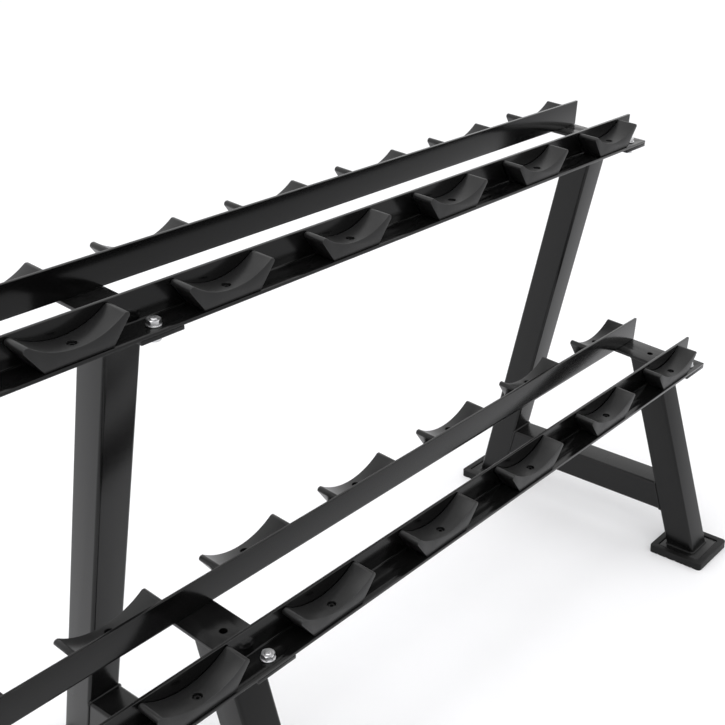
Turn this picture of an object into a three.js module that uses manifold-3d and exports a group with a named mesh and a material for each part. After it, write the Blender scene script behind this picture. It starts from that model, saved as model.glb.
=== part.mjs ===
// A two-tier dumbbell rack for ten pairs, in millimetres. +X runs along the rails to the right,
// +Y goes from the user to the back, +Z is up, and the origin is on the floor under the middle.
import * as THREE from "three";
import { mergeVertices } from "three/addons/utils/BufferGeometryUtils.js";
import Module from "manifold-3d";

// Driving dimensions
const PLACES = 10; // dumbbells side by side on a tier
const PLACE_PITCH = 240; // centre to centre of two neighbouring dumbbells
const GAP = 0.3; // clearance between touching pieces

const RAIL_LENGTH = 2384;
const RAIL_WIDTH = 46; // level flange, which carries the saddles
const RAIL_HEIGHT = 48; // upright flange, which keeps the heads apart
const RAIL_THICKNESS = 5;
const RAIL_SPACING = 116; // open gap between the two upright flanges of a tier

const TIER_TILT = THREE.MathUtils.degToRad(4.5); // both tiers slope down to the user
const UPPER_TIER = { name: "upper", y: 47, z: 847 };
const LOWER_TIER = { name: "lower", y: -123, z: 419 };

const FRAME_SPACING = 1158; // middle frame to an end frame
const FRAME_PLACES = [-FRAME_SPACING, 0, FRAME_SPACING];
const FRAME_NAMES = ["left_end", "middle", "right_end"];
const TUBE = 60; // square box section of the frames
const TUBE_RADIUS = 5;
const CROSSBAR_Z = 118;
const PLATE_WIDTH = 68;
const PLATE_DEPTH = RAIL_SPACING + 2 * RAIL_WIDTH;
const PLATE_THICKNESS = 6;
const BOLT_HOLE_RADIUS = 5.5; // clearance for an M10 bolt
const BOLT_FROM_CENTRE = RAIL_SPACING / 2 + 28;
const VENT_HOLE_RADIUS = 6;

const TRIM_SIZE = 1200; // edge of the blocks that trim the tubes, larger than a frame

const FOOT_Y = 249; // front and rear feet, each side of the middle
const FOOT_WIDTH = 118;
const FOOT_DEPTH = 118;
const FOOT_THICKNESS = 16;
const FOOT_RADIUS = 7;
const FOOT_CHAMFER = 2;
const BASE_PLATE_WIDTH = 90; // welded under each leg, and sunk into the foot's bed
const BASE_PLATE_DEPTH = 90;
const BASE_PLATE_THICKNESS = 4;
const BASE_PLATE_RADIUS = 4;
const BED_FLOOR = 10; // rubber left under the base plate
const BED_CLEARANCE = 1;

const SADDLE_BASE = 97;
const SADDLE_SPAN = 147; // tip to tip
const SADDLE_HEIGHT = 40;
const SADDLE_SHOULDER = 34; // height where the slanting side turns upright
const SADDLE_CRADLE = 17.5; // rubber left under the lowest point of the cradle
const SADDLE_TIP = 7; // from the cradle's edge to the end of the tip
const SADDLE_TIP_RADIUS = 4.5;
const SADDLE_FRONT_INSET = 2.5; // back from the rail's outer edge
const SADDLE_BACK_GAP = 1.2; // clear of the upright flange
const SADDLE_DEPTH = RAIL_WIDTH - RAIL_THICKNESS - SADDLE_BACK_GAP - SADDLE_FRONT_INSET;
const SCREW_OFFSET = 3.5; // the screw sits this far outside the saddle's middle
const SCREW_RECESS_RADIUS = 6.5;
const SCREW_RECESS_FLOOR = 9; // rubber left under the screw head

const wasm = await Module();
wasm.setup();

// Solids and geometries

function solidFrom(geometry) {
  const bare = geometry.index ? geometry.toNonIndexed() : geometry.clone();
  bare.deleteAttribute("normal");
  bare.deleteAttribute("uv");
  const merged = mergeVertices(bare, 1e-4);
  const mesh = new wasm.Mesh({
    numProp: 3,
    vertProperties: merged.attributes.position.array,
    triVerts: new Uint32Array(merged.index.array),
  });
  return new wasm.Manifold(mesh);
}

function geometryFrom(solid) {
  const mesh = solid.getMesh();
  const geometry = new THREE.BufferGeometry();
  geometry.setAttribute("position", new THREE.BufferAttribute(mesh.vertProperties, 3));
  geometry.setIndex(new THREE.BufferAttribute(mesh.triVerts, 1));
  geometry.computeVertexNormals();
  return geometry;
}

// An outline drawn in Y and Z, extruded along X about the middle.
function alongX(shape, length) {
  const options = { depth: length, bevelEnabled: false };
  const axes = new THREE.Matrix4().makeBasis(
    new THREE.Vector3(0, 1, 0),
    new THREE.Vector3(0, 0, 1),
    new THREE.Vector3(1, 0, 0),
  );
  return new THREE.ExtrudeGeometry(shape, options).translate(0, 0, -length / 2).applyMatrix4(axes);
}

// An outline drawn in X and Z, extruded along Y about the middle.
function alongY(shape, length, curveSegments) {
  const options = { depth: length, bevelEnabled: false, curveSegments };
  return new THREE.ExtrudeGeometry(shape, options)
    .translate(0, 0, -length / 2)
    .rotateX(Math.PI / 2);
}

// A round cutter or shaft standing along Z.
function uprightCylinder(radius, height, x, y, z, sides = 12) {
  return new THREE.CylinderGeometry(radius, radius, height, sides)
    .rotateX(Math.PI / 2)
    .translate(x, y, z);
}

function roundedRectangle(width, depth, radius) {
  const x = width / 2;
  const y = depth / 2;
  const shape = new THREE.Shape();
  shape.absarc(x - radius, y - radius, radius, 0, Math.PI / 2);
  shape.absarc(radius - x, y - radius, radius, Math.PI / 2, Math.PI);
  shape.absarc(radius - x, radius - y, radius, Math.PI, 1.5 * Math.PI);
  shape.absarc(x - radius, radius - y, radius, 1.5 * Math.PI, 2 * Math.PI);
  return shape;
}

// Materials

function blackPaint() {
  return new THREE.MeshStandardMaterial({ color: 0x1b1b1c, roughness: 0.42, metalness: 0.3 });
}

function mouldedRubber() {
  return new THREE.MeshStandardMaterial({ color: 0x333334, roughness: 0.72, metalness: 0 });
}

function footRubber() {
  return new THREE.MeshStandardMaterial({ color: 0x222223, roughness: 0.8, metalness: 0 });
}

// Sub-parts

// An angle rail along X. side is -1 for the front rail, whose level flange points at the user,
// and +1 for the rear one. The plates' top is at Z = 0.
function railGeometry(side) {
  const inner = RAIL_SPACING / 2;
  const outer = inner + RAIL_WIDTH;
  const web = inner + RAIL_THICKNESS;
  const shape = new THREE.Shape();
  shape.moveTo(inner, 0);
  shape.lineTo(outer, 0);
  shape.lineTo(outer, RAIL_THICKNESS);
  shape.lineTo(web, RAIL_THICKNESS);
  shape.lineTo(web, RAIL_HEIGHT);
  shape.lineTo(inner, RAIL_HEIGHT);
  shape.closePath();
  const turned = side < 0 ? Math.PI : 0;
  let rail = solidFrom(alongX(shape, RAIL_LENGTH).rotateZ(turned));
  for (const frameX of FRAME_PLACES) {
    const hole = uprightCylinder(
      BOLT_HOLE_RADIUS, 4 * RAIL_THICKNESS, frameX, side * BOLT_FROM_CENTRE, 0);
    rail = rail.subtract(solidFrom(hole));
  }
  return geometryFrom(rail.translate([0, 0, GAP]));
}

// A moulded saddle, about the middle of its base: a cradle between two raised tips, with a sunk
// place for the screw that holds it to the rail. side is -1 for a front rail, +1 for a rear one.
function saddleGeometry(side) {
  const tip = SADDLE_SPAN / 2;
  const lip = tip - SADDLE_TIP;
  const sag = SADDLE_HEIGHT - SADDLE_CRADLE;
  const radius = (lip * lip + sag * sag) / (2 * sag);
  const reach = Math.asin(lip / radius);
  const shape = new THREE.Shape();
  shape.moveTo(-SADDLE_BASE / 2, 0);
  shape.lineTo(SADDLE_BASE / 2, 0);
  shape.lineTo(tip, SADDLE_SHOULDER);
  const corner = [0, 30, 60, 90].map((degrees) => {
    const angle = THREE.MathUtils.degToRad(degrees);
    const x = tip - SADDLE_TIP_RADIUS * (1 - Math.cos(angle));
    return { x, z: SADDLE_HEIGHT - SADDLE_TIP_RADIUS * (1 - Math.sin(angle)) };
  });
  corner.forEach(({ x, z }) => shape.lineTo(x, z));
  const low = 1.5 * Math.PI;
  shape.absarc(0, SADDLE_CRADLE + radius, radius, low + reach, low - reach, true);
  corner.reverse().forEach(({ x, z }) => shape.lineTo(-x, z));
  shape.lineTo(-tip, SADDLE_SHOULDER);
  shape.closePath();
  const height = SADDLE_HEIGHT - SCREW_RECESS_FLOOR;
  const middle = SCREW_RECESS_FLOOR + height / 2;
  const recess = uprightCylinder(
    SCREW_RECESS_RADIUS, height, 0, side * SCREW_OFFSET, middle, 10);
  return geometryFrom(solidFrom(alongY(shape, SADDLE_DEPTH, 10)).subtract(solidFrom(recess)));
}

// A rubber foot standing on the floor, with a sunk bed for the leg's base plate.
function footGeometry() {
  const shape = roundedRectangle(
    FOOT_WIDTH - 2 * FOOT_CHAMFER, FOOT_DEPTH - 2 * FOOT_CHAMFER, FOOT_RADIUS - FOOT_CHAMFER);
  const pad = new THREE.ExtrudeGeometry(shape, {
    depth: FOOT_THICKNESS - 2 * FOOT_CHAMFER,
    bevelThickness: FOOT_CHAMFER,
    bevelSize: FOOT_CHAMFER,
    bevelSegments: 1,
    curveSegments: 3,
  });
  const bedShape = roundedRectangle(
    BASE_PLATE_WIDTH + 2 * BED_CLEARANCE,
    BASE_PLATE_DEPTH + 2 * BED_CLEARANCE,
    BASE_PLATE_RADIUS + BED_CLEARANCE);
  const bed = new THREE.ExtrudeGeometry(
    bedShape, { depth: FOOT_THICKNESS, bevelEnabled: false, curveSegments: 2 });
  const block = solidFrom(pad.translate(0, 0, FOOT_CHAMFER));
  return geometryFrom(block.subtract(solidFrom(bed.translate(0, 0, BED_FLOOR))));
}

// A length of box section from one point of the frame's side plane to another, with run-out past
// each end so that it can be trimmed.
function tube(from, to, runOut) {
  const start = new THREE.Vector3(0, from.y, from.z);
  const along = new THREE.Vector3(0, to.y - from.y, to.z - from.z);
  const length = along.length() + 2 * runOut;
  const options = { depth: length, bevelEnabled: false, curveSegments: 2 };
  const bar = new THREE.ExtrudeGeometry(roundedRectangle(TUBE, TUBE, TUBE_RADIUS), options)
    .translate(0, 0, -runOut);
  const turn = new THREE.Quaternion().setFromUnitVectors(
    new THREE.Vector3(0, 0, 1), along.clone().normalize());
  return solidFrom(bar.applyQuaternion(turn).translate(start.x, start.y, start.z));
}

// A block whose flat underside passes through a tier's plate. It trims the tube that comes up to
// that plate.
function aboveTier(tier) {
  const block = new THREE.BoxGeometry(TRIM_SIZE, TRIM_SIZE, TRIM_SIZE)
    .translate(0, 0, TRIM_SIZE / 2 - PLATE_THICKNESS / 2)
    .rotateX(TIER_TILT)
    .translate(0, tier.y, tier.z);
  return solidFrom(block);
}

// A block that trims the tubes level, halfway through their base plates.
function belowBasePlates() {
  const top = BED_FLOOR + GAP + BASE_PLATE_THICKNESS / 2;
  const block = new THREE.BoxGeometry(TRIM_SIZE, TRIM_SIZE, TRIM_SIZE);
  return solidFrom(block.translate(0, 0, top - TRIM_SIZE / 2));
}

// The flat plate welded under a leg.
function basePlate(y) {
  const shape = roundedRectangle(BASE_PLATE_WIDTH, BASE_PLATE_DEPTH, BASE_PLATE_RADIUS);
  const options = { depth: BASE_PLATE_THICKNESS, bevelEnabled: false, curveSegments: 2 };
  return solidFrom(new THREE.ExtrudeGeometry(shape, options).translate(0, y, BED_FLOOR + GAP));
}

// The drilled plate under a tier's rails.
function tierPlate(tier) {
  const flat = new THREE.BoxGeometry(PLATE_WIDTH, PLATE_DEPTH, PLATE_THICKNESS)
    .translate(0, 0, -PLATE_THICKNESS / 2);
  let solid = solidFrom(flat);
  for (const side of [-1, 1]) {
    const hole = uprightCylinder(
      BOLT_HOLE_RADIUS, 4 * PLATE_THICKNESS, 0, side * BOLT_FROM_CENTRE, 0);
    solid = solid.subtract(solidFrom(hole));
  }
  const placed = geometryFrom(solid).rotateX(TIER_TILT).translate(0, tier.y, tier.z);
  return solidFrom(placed);
}

// A welded frame: the long upright to the upper plate, the short front leg to the lower plate,
// the crossbar between them, and a base plate under each.
function frameGeometry() {
  const rearFoot = { y: FOOT_Y, z: 0 };
  const frontFoot = { y: -FOOT_Y, z: 0 };
  const upright = tube(rearFoot, UPPER_TIER, TUBE).subtract(aboveTier(UPPER_TIER));
  const leg = tube(frontFoot, LOWER_TIER, TUBE).subtract(aboveTier(LOWER_TIER));
  const onLine = (foot, tier) => ({
    y: foot.y + ((tier.y - foot.y) * CROSSBAR_Z) / tier.z,
    z: CROSSBAR_Z,
  });
  const crossbar = tube(onLine(frontFoot, LOWER_TIER), onLine(rearFoot, UPPER_TIER), 0);
  const vent = uprightCylinder(VENT_HOLE_RADIUS, 30, 0, 0, 0)
    .rotateX(TIER_TILT)
    .translate(0, LOWER_TIER.y, LOWER_TIER.z);
  const frame = upright
    .add(leg)
    .add(crossbar)
    .subtract(belowBasePlates())
    .add(basePlate(rearFoot.y))
    .add(basePlate(frontFoot.y))
    .add(tierPlate(UPPER_TIER))
    .add(tierPlate(LOWER_TIER))
    .subtract(solidFrom(vent));
  return geometryFrom(frame);
}

// Assembly

const rack = new THREE.Group();

function addMesh(parent, name, geometry, material, x, y, z) {
  const mesh = new THREE.Mesh(geometry, material);
  mesh.name = name;
  mesh.position.set(x, y, z);
  parent.add(mesh);
}

function addTier(tier) {
  const shelf = new THREE.Group();
  shelf.position.set(0, tier.y, tier.z);
  shelf.rotation.x = TIER_TILT;
  const outward = RAIL_SPACING / 2 + RAIL_THICKNESS + SADDLE_BACK_GAP + SADDLE_DEPTH / 2;
  for (const [row, side] of [["front", -1], ["rear", 1]]) {
    const saddle = saddleGeometry(side);
    addMesh(shelf, `${tier.name}_${row}_rail`, railGeometry(side), blackPaint(), 0, 0, 0);
    for (let place = 0; place < PLACES; place++) {
      const x = (place - (PLACES - 1) / 2) * PLACE_PITCH;
      const number = String(place + 1).padStart(2, "0");
      const name = `${tier.name}_${row}_saddle_${number}`;
      addMesh(shelf, name, saddle, mouldedRubber(), x, side * outward, RAIL_THICKNESS + 2 * GAP);
    }
  }
  rack.add(shelf);
}

function addFrames() {
  const frame = frameGeometry();
  const foot = footGeometry();
  FRAME_PLACES.forEach((x, i) => {
    addMesh(rack, `${FRAME_NAMES[i]}_frame`, frame, blackPaint(), x, 0, 0);
    addMesh(rack, `${FRAME_NAMES[i]}_front_foot`, foot, footRubber(), x, -FOOT_Y, 0);
    addMesh(rack, `${FRAME_NAMES[i]}_rear_foot`, foot, footRubber(), x, FOOT_Y, 0);
  });
}

addFrames();
addTier(UPPER_TIER);
addTier(LOWER_TIER);

export default rack;
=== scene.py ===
# %% [markdown]
# # A two-tier dumbbell rack
# The rack holds ten pairs of dumbbells. Two tiers of angle rail carry moulded rubber saddles, and three
# welded frames hold the tiers up. The design model already fixes every size and place, so this lesson
# only builds the fine surface of each part around it: real edge radii, weld beads, bolts and materials.

# %% Load the design model
import math

import bmesh
import bpy
from mathutils import Matrix, Vector


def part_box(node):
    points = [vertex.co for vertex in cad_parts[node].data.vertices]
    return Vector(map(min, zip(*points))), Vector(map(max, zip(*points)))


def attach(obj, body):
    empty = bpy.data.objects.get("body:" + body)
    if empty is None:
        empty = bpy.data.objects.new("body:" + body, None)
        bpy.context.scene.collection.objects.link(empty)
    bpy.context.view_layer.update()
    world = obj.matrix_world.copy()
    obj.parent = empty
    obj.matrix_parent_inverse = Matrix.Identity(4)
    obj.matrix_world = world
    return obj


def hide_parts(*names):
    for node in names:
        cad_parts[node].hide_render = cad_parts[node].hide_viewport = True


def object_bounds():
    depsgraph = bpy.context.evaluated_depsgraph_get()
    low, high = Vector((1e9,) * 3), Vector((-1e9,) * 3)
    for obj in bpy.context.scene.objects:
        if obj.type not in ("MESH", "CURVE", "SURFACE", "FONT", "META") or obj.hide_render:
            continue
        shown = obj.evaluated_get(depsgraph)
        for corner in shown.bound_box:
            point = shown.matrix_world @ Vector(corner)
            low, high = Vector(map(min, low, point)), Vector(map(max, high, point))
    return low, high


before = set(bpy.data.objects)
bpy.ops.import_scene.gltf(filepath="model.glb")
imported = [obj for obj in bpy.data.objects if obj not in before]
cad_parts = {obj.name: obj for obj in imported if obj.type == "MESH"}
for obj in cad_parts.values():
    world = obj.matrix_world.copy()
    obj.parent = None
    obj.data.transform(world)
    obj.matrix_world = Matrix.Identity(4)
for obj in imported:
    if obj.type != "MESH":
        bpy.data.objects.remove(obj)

CAD_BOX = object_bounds()
CAD_SIZE = CAD_BOX[1] - CAD_BOX[0]
print(f"rack: {CAD_SIZE.x:.3f} m long, {CAD_SIZE.y:.3f} m deep, {CAD_SIZE.z:.3f} m high")

# %% [markdown]
# ## The camera
# A camera needs a place, a direction and a lens. Here it stands in front of the left half of the rack,
# above the upper tier, and looks down along the rails to the right. The lens is a 59 mm one on a 36 mm
# sensor. A small shift slides the picture sideways without turning the camera, so uprights keep their
# slant.

# %% Camera
CAMERA_PLACE = Vector((-0.840, -1.1576, 1.428))
CAMERA_HEADING = math.radians(50.884)  # from straight ahead towards the right
CAMERA_DIP = math.radians(24.024)
LENS_MM = 58.98
SENSOR_MM = 36.0
LENS_SHIFT = (-0.0869, -0.0290)  # in parts of the picture's width


def add_camera():
    lens = bpy.data.cameras.new("camera")
    lens.sensor_width = SENSOR_MM
    lens.lens = LENS_MM
    lens.shift_x, lens.shift_y = LENS_SHIFT
    camera = bpy.data.objects.new("camera", lens)
    camera.location = CAMERA_PLACE
    camera.rotation_euler = (math.pi / 2 - CAMERA_DIP, 0.0, -CAMERA_HEADING)
    bpy.context.scene.collection.objects.link(camera)
    bpy.context.scene.camera = camera
    return camera


camera = add_camera()
print("camera", [round(v, 3) for v in camera.location])

# %% [markdown]
# ## Sizes and places
# Everything is in metres. Sizes that several parts share come first, and a size that only one part needs
# stands in that part's own cell.

# %% Shared sizes
GAP = 0.0003  # clearance between touching pieces
RAIL_THICKNESS = 0.005
RAIL_WIDTH = 0.046
RAIL_HEIGHT = 0.048
RAIL_SPACING = 0.116  # between the two upright flanges of a tier
HALF_DEPTH = RAIL_SPACING / 2 + RAIL_WIDTH
TIER_TILT = math.radians(4.5)
TUBE = 0.060
TUBE_RADIUS = 0.006
PLATE_WIDTH = 0.068
PLATE_THICKNESS = 0.006
BOLT_INTO_RAIL = 0.028  # from the side that faces the gap
BOLT_FROM_CENTRE = RAIL_SPACING / 2 + BOLT_INTO_RAIL
BOLT_HOLE_RADIUS = 0.0055
TIERS = ("upper", "lower")
SIDES = {"front": -1, "rear": 1}
FRAMES = ("left_end", "middle", "right_end")
print("each tier is", round(2 * HALF_DEPTH, 3), "m deep")

# %% [markdown]
# Lengths that the design model shows directly are read from its boxes, so the new surfaces land exactly
# where the solids are. Each tier is a tilted shelf: a matrix turns "so far along the rail, so far back,
# so far up from the plates" into a place in the room.

# %% Places


def box_centre(node):
    low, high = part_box(node)
    return (low + high) / 2


def tier_matrix(tier):
    front_low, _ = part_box(f"{tier}_front_rail")
    _, rear_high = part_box(f"{tier}_rear_rail")
    sine, cosine = math.sin(TIER_TILT), math.cos(TIER_TILT)
    y = (front_low.y + rear_high.y) / 2 + (RAIL_THICKNESS / 2 + GAP) * sine
    z = front_low.z + HALF_DEPTH * sine - GAP * cosine
    return Matrix.Translation((0.0, y, z)) @ Matrix.Rotation(TIER_TILT, 4, "X")


SHELF = {tier: tier_matrix(tier) for tier in TIERS}
FRAME_X = {name: box_centre(f"{name}_frame").x for name in FRAMES}
RAIL_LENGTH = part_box("upper_front_rail")[1].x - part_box("upper_front_rail")[0].x
PLACES = [f"{number:02d}" for number in range(1, 11)]
SADDLE_X = [box_centre(f"upper_front_saddle_{number}").x for number in PLACES]
for tier in TIERS:
    print(tier, "tier centre", [round(v, 4) for v in SHELF[tier].translation])
print("frames at x", [round(x, 3) for x in FRAME_X.values()], "rails", round(RAIL_LENGTH, 3), "m")

# %% [markdown]
# ## Working tools
# An operator in Blender acts on whatever is selected, so every helper starts by selecting nothing and
# then exactly what it needs. Faces and edges are picked by a test on their place or their direction,
# which keeps working when the sizes change.

# %% Selecting
CLOSE = 1e-5  # places nearer than this are the same
MOSTLY = 0.9  # a direction above this runs along the axis


def select_only(piece):
    if bpy.context.mode != "OBJECT":
        bpy.ops.object.mode_set(mode="OBJECT")
    bpy.ops.object.select_all(action="DESELECT")
    if piece is not None:
        piece.select_set(True)
        bpy.context.view_layer.objects.active = piece


def pick(piece, kind, test):
    """Opens the piece in edit mode with only the parts selected that pass the test."""
    select_only(piece)
    bpy.ops.object.mode_set(mode="EDIT")
    bpy.ops.mesh.select_mode(type=kind)
    bpy.ops.mesh.select_all(action="DESELECT")
    mesh = bmesh.from_edit_mesh(piece.data)
    parts = {"VERT": mesh.verts, "EDGE": mesh.edges, "FACE": mesh.faces}[kind]
    for part in parts:
        part.select_set(test(part))
    mesh.select_flush_mode()
    bmesh.update_edit_mesh(piece.data)


def close_edit():
    bpy.ops.object.mode_set(mode="OBJECT")


def edge_direction(edge):
    return (edge.verts[1].co - edge.verts[0].co).normalized()


def middle_of(part):
    return sum((v.co for v in part.verts), Vector()) / len(part.verts)


print("selecting ready")

# %% [markdown]
# Most parts of the rack start as a bar or a rod, so they begin with a cube or a cylinder primitive. An
# object's place, turn and size are moved into its mesh at once. Later steps then work in real metres.

# %% Starting shapes


def settle(piece, name):
    """Names a new primitive and moves its place, turn and size into its mesh."""
    piece.name = name
    piece.data.name = name
    select_only(piece)
    bpy.ops.object.transform_apply(location=True, rotation=True, scale=True)
    return piece


def block(name, size, centre):
    select_only(None)
    bpy.ops.mesh.primitive_cube_add(size=1.0, location=centre)
    piece = bpy.context.active_object
    piece.scale = size
    return settle(piece, name)


def rod(name, radius, length, centre, sides=48, turn=(0.0, 0.0, 0.0)):
    select_only(None)
    bpy.ops.mesh.primitive_cylinder_add(
        vertices=sides, radius=radius, depth=length, location=centre, rotation=turn
    )
    return settle(bpy.context.active_object, name)


print("starting shapes ready")

# %% [markdown]
# The steps after that are what a workshop does too: drill a hole, saw along a plane, weld parts together.
# Holes and unions are Boolean modifiers, and a saw cut is the bisect operator. Normals are made to point
# outwards after the doubled points are merged.

# %% Changing shapes
SHARP_ANGLE = 32.0  # degrees; a flatter edge is shaded smooth



def apply_modifier(piece, kind, **settings):
    modifier = piece.modifiers.new(kind.title(), kind)
    for setting, value in settings.items():
        setattr(modifier, setting, value)
    select_only(piece)
    bpy.ops.object.modifier_apply(modifier=modifier.name)


def combine(piece, operation, others):
    """Joins, cuts or intersects the piece with other closed shapes, which are used up."""
    for other in others:
        apply_modifier(piece, "BOOLEAN", operation=operation, object=other, solver="EXACT")
        bpy.data.objects.remove(other)
    return piece


def slice_off(piece, point, outward):
    """Cuts the piece with a plane, keeps what lies behind it and closes the cut."""
    pick(piece, "FACE", lambda face: True)
    bpy.ops.mesh.bisect(plane_co=point, plane_no=outward, use_fill=True, clear_outer=True)
    close_edit()


def outward_normals(piece):
    pick(piece, "FACE", lambda face: True)
    bpy.ops.mesh.remove_doubles(threshold=CLOSE)
    bpy.ops.mesh.select_all(action="SELECT")
    bpy.ops.mesh.normals_make_consistent(inside=False)
    close_edit()


def smooth(piece, sharper_than=SHARP_ANGLE):
    select_only(piece)
    bpy.ops.object.shade_smooth_by_angle(angle=math.radians(sharper_than))


print("cutting and joining ready")

# %% [markdown]
# What repeats on the rack is modelled once. Shapes of one part that only touch are joined as separate
# shells, and every further saddle, bolt or frame is a copy whose own mesh is moved into place.

# %% Joining and copying


def join(pieces, name):
    """Puts several shapes into one object, each still its own closed shell."""
    select_only(pieces[0])
    for piece in pieces[1:]:
        piece.select_set(True)
    bpy.ops.object.join()
    return settle(bpy.context.active_object, name)


def copy_to(piece, name, matrix):
    """A copy with a mesh of its own, placed by moving that mesh."""
    twin = bpy.data.objects.new(name, piece.data.copy())
    twin.data.name = name
    twin.data.transform(matrix)
    bpy.context.scene.collection.objects.link(twin)
    return twin


def face_count(piece):
    return len(piece.data.polygons)


print("joining and copying ready")

# %% [markdown]
# ## Node groups for the finishes
# Several finishes share the same effects: a fine surface grain, a lighter tone on rounded edges that
# is partly wear and partly painted highlight, and a little dust on what faces up. Each effect is built
# once as a shader node group with named sockets, and every material then feeds it its own values. The
# groups only give masks, values and heights. The shaders stay in the materials, where they can be baked.

# %% Building node groups
SOCKET_TYPES = {"value": "NodeSocketFloat", "vector": "NodeSocketVector"}


def new_group(name, inputs, outputs):
    """A shader node group. Inputs are (name, kind, start value), outputs are names of values."""
    group = bpy.data.node_groups.new(name, "ShaderNodeTree")
    for socket, kind, start in inputs:
        made = group.interface.new_socket(socket, in_out="INPUT", socket_type=SOCKET_TYPES[kind])
        made.default_value = start
    for socket in outputs:
        group.interface.new_socket(socket, in_out="OUTPUT", socket_type="NodeSocketFloat")
    return group, group.nodes.new("NodeGroupInput"), group.nodes.new("NodeGroupOutput")


def feed(tree, value, socket):
    """Links an output to a socket, or sets the socket when the value is a plain number or colour."""
    if isinstance(value, bpy.types.NodeSocket):
        tree.links.new(value, socket)
    else:
        socket.default_value = value


def noise(tree, place, scale, detail=3.0, roughness=0.5):
    node = tree.nodes.new("ShaderNodeTexNoise")
    feed(tree, place, node.inputs["Vector"])
    feed(tree, scale, node.inputs["Scale"])
    feed(tree, detail, node.inputs["Detail"])
    feed(tree, roughness, node.inputs["Roughness"])
    return node.outputs["Fac"]


def remap(tree, value, low, high, new_low=0.0, new_high=1.0):
    node = tree.nodes.new("ShaderNodeMapRange")
    node.interpolation_type = "SMOOTHSTEP"
    for socket, item in zip(node.inputs[:5], (value, low, high, new_low, new_high)):
        feed(tree, item, socket)
    return node.outputs["Result"]


def calculate(tree, operation, first, second=0.0):
    node = tree.nodes.new("ShaderNodeMath")
    node.operation = operation
    feed(tree, first, node.inputs[0])
    feed(tree, second, node.inputs[1])
    return node.outputs[0]


print("node tools ready")

# %% [markdown]
# ### Fine grain
# Powder coat and moulded rubber both have a dense, shallow pebble, and neither is quite one colour. Two
# noises of different scale give the height for a bump. A third, slow one gives a cloudy drift of tone.

# %% Fine grain
COARSE_GRAIN = 0.22  # scale of the coarser pebble, as a share of the fine one
COARSE_SHARE = 0.8


def build_fine_grain():
    group, given, out = new_group(
        "fine_grain",
        [("Place", "vector", (0.0, 0.0, 0.0)), ("Grain Scale", "value", 600.0),
         ("Cloud Scale", "value", 9.0), ("Cloud Contrast", "value", 0.5)],
        ["Height", "Tone"],
    )
    place = given.outputs["Place"]
    fine = noise(group, place, given.outputs["Grain Scale"], 2.0, 0.6)
    coarse_scale = calculate(group, "MULTIPLY", given.outputs["Grain Scale"], COARSE_GRAIN)
    coarse = noise(group, place, coarse_scale, 1.0)
    share = calculate(group, "MULTIPLY", coarse, COARSE_SHARE)
    feed(group, calculate(group, "ADD", fine, share), out.inputs["Height"])
    cloud = noise(group, place, given.outputs["Cloud Scale"], 4.0, 0.6)
    centred = calculate(group, "SUBTRACT", cloud, 0.5)
    spread = calculate(group, "MULTIPLY", centred, given.outputs["Cloud Contrast"])
    feed(group, calculate(group, "ADD", spread, 0.5), out.inputs["Tone"])
    return group


FINE_GRAIN = build_fine_grain()
print("node group:", FINE_GRAIN.name)

# %% [markdown]
# ### Worn and highlit edges
# A coating is thin on an edge and rubs off there first, and a rounded edge also catches a thin highlight.
# The lighter edge tone stands for both, so it is partly wear and partly painted highlight. Which faces
# lie on an edge comes from an attribute that is written while modelling. Noise breaks the line up, so the
# lighter edge shows only here and there.

# %% Worn edges and painted highlight


def build_edge_wear_and_highlight():
    group, given, out = new_group(
        "edge_wear_and_painted_highlight",
        [("Place", "vector", (0.0, 0.0, 0.0)), ("Edge", "value", 0.0), ("Patch Scale", "value", 25.0),
         ("Amount", "value", 0.5)],
        ["Mask"],
    )
    # The mask marks a lighter edge tone: partly wear, partly painted highlight.
    patches = noise(group, given.outputs["Place"], given.outputs["Patch Scale"], 4.0, 0.65)
    broken = remap(group, patches, 0.35, 0.7, 0.25, 1.0)
    strength = calculate(group, "MULTIPLY", broken, given.outputs["Amount"])
    feed(group, calculate(group, "MULTIPLY", strength, given.outputs["Edge"]), out.inputs["Mask"])
    return group


EDGE_WEAR_AND_HIGHLIGHT = build_edge_wear_and_highlight()
print("node group:", EDGE_WEAR_AND_HIGHLIGHT.name)

# %% [markdown]
# ### Settled dust
# Dust only lies on what looks up, so the mask starts from the upward part of the normal. A patchy film
# and fine specks are multiplied into it.

# %% Settled dust
SPECK_SCALE = 900.0


def build_dust():
    group, given, out = new_group(
        "settled_dust",
        [("Place", "vector", (0.0, 0.0, 0.0)), ("Patch Scale", "value", 14.0),
         ("Amount", "value", 0.3)],
        ["Mask"],
    )
    geometry = group.nodes.new("ShaderNodeNewGeometry")
    split = group.nodes.new("ShaderNodeSeparateXYZ")
    feed(group, geometry.outputs["Normal"], split.inputs[0])
    facing = remap(group, split.outputs["Z"], 0.55, 1.0)
    patches = noise(group, given.outputs["Place"], given.outputs["Patch Scale"], 5.0, 0.7)
    film = remap(group, patches, 0.3, 0.75, 0.2, 1.0)
    specks = remap(group, noise(group, given.outputs["Place"], SPECK_SCALE, 1.0), 0.55, 0.75)
    both = calculate(group, "MULTIPLY", film, remap(group, specks, 0.0, 1.0, 0.55, 1.0))
    lying = calculate(group, "MULTIPLY", both, facing)
    feed(group, calculate(group, "MULTIPLY", lying, given.outputs["Amount"]), out.inputs["Mask"])
    return group


DUST = build_dust()
print("node group:", DUST.name)

# %% [markdown]
# ## One recipe for every finish
# Everything on the rack is grey, black or zinc, so one slightly cool grey and two helpers cover all of
# its colours. The first helper mixes two tones by a mask. The second places a node group and fills its
# sockets.

# %% Colours and groups


def mix_colour(tree, share, first, second):
    node = tree.nodes.new("ShaderNodeMix")
    node.data_type = "RGBA"
    feed(tree, share, node.inputs["Factor"])
    feed(tree, first, node.inputs["A"])
    feed(tree, second, node.inputs["B"])
    return node.outputs["Result"]


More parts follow.
